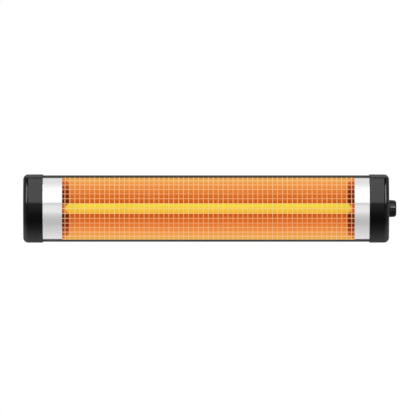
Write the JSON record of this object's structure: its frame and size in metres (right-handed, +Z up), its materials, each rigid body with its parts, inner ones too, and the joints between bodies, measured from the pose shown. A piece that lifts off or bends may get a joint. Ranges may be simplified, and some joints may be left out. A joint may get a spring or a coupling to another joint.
{
  "type": "infrared quartz heater",
  "caption": "Long wall-hung infrared heater: dark housing, crowned wire grille over a glowing quartz tube in a parabolic reflector, polished bands, moulded end caps and a rotary control knob.",
  "frame": {"origin": "on the flat back of the housing, midway between the two wall-fixing nuts", "axes": "+X to the right seen from the front, along the heater; +Y out of the back, so the grille faces -Y; +Z up"},
  "size_m": [0.8995, 0.1156, 0.1646],
  "materials": {
    "housing_paint": "satin",
    "cap_plastic": "semi-gloss",
    "polished_band": "polished",
    "grille_wire": "bright",
    "reflector_sheet": "polished",
    "bulkhead_steel": "satin",
    "quartz": "clear",
    "heating_wire": "hot",
    "socket_ceramic": "matt",
    "terminal_brass": "bright",
    "grommet_rubber": "matt",
    "lead_sleeve": "woven sleeve",
    "inner_plastic": "matt",
    "knob_plastic": "semi-gloss",
    "pointer_plastic": "matt",
    "gland_plastic": "matt",
    "plated_steel": "zinc plated"
  },
  "bodies": {
    "heater": {"rear_housing": "housing_paint", "left_end_cap": "cap_plastic", "right_end_cap": "cap_plastic", "left_trim_band": "polished_band", "right_trim_band": "polished_band", "grille_long_wires": "grille_wire", "grille_cross_wires": "grille_wire", "reflector": "reflector_sheet", "reflector_clips": "plated_steel", "left_reflector_end": "bulkhead_steel", "right_reflector_end": "bulkhead_steel", "left_bulkhead": "bulkhead_steel", "right_bulkhead": "bulkhead_steel", "quartz_tube": "quartz", "heating_coil": "heating_wire", "left_socket": "socket_ceramic", "right_socket": "socket_ceramic", "left_socket_clamp": "plated_steel", "right_socket_clamp": "plated_steel", "left_terminal": "terminal_brass", "right_terminal": "terminal_brass", "left_grommet": "grommet_rubber", "right_grommet": "grommet_rubber", "long_lead": "lead_sleeve", "element_lead": "lead_sleeve", "cutout_lead": "lead_sleeve", "control_lead": "lead_sleeve", "thermal_cutout": "inner_plastic", "terminal_block": "inner_plastic", "energy_control": "inner_plastic", "control_nut": "plated_steel", "cable_gland": "gland_plastic", "gland_nut": "gland_plastic", "end_cap_screws": "plated_steel", "bulkhead_screws": "plated_steel", "socket_screws": "plated_steel", "mount_nuts": "plated_steel"},
    "knob": {"control_knob": "knob_plastic", "knob_pointer": "pointer_plastic", "control_spindle": "plated_steel"}
  },
  "joints": [
    {"name": "knob_turn", "type": "hinge", "parent": "heater", "child": "knob", "pos_m": [0.4495, -0.05, 0], "axis": [1, 0, 0], "range_deg": [0, 270]}
  ]
}
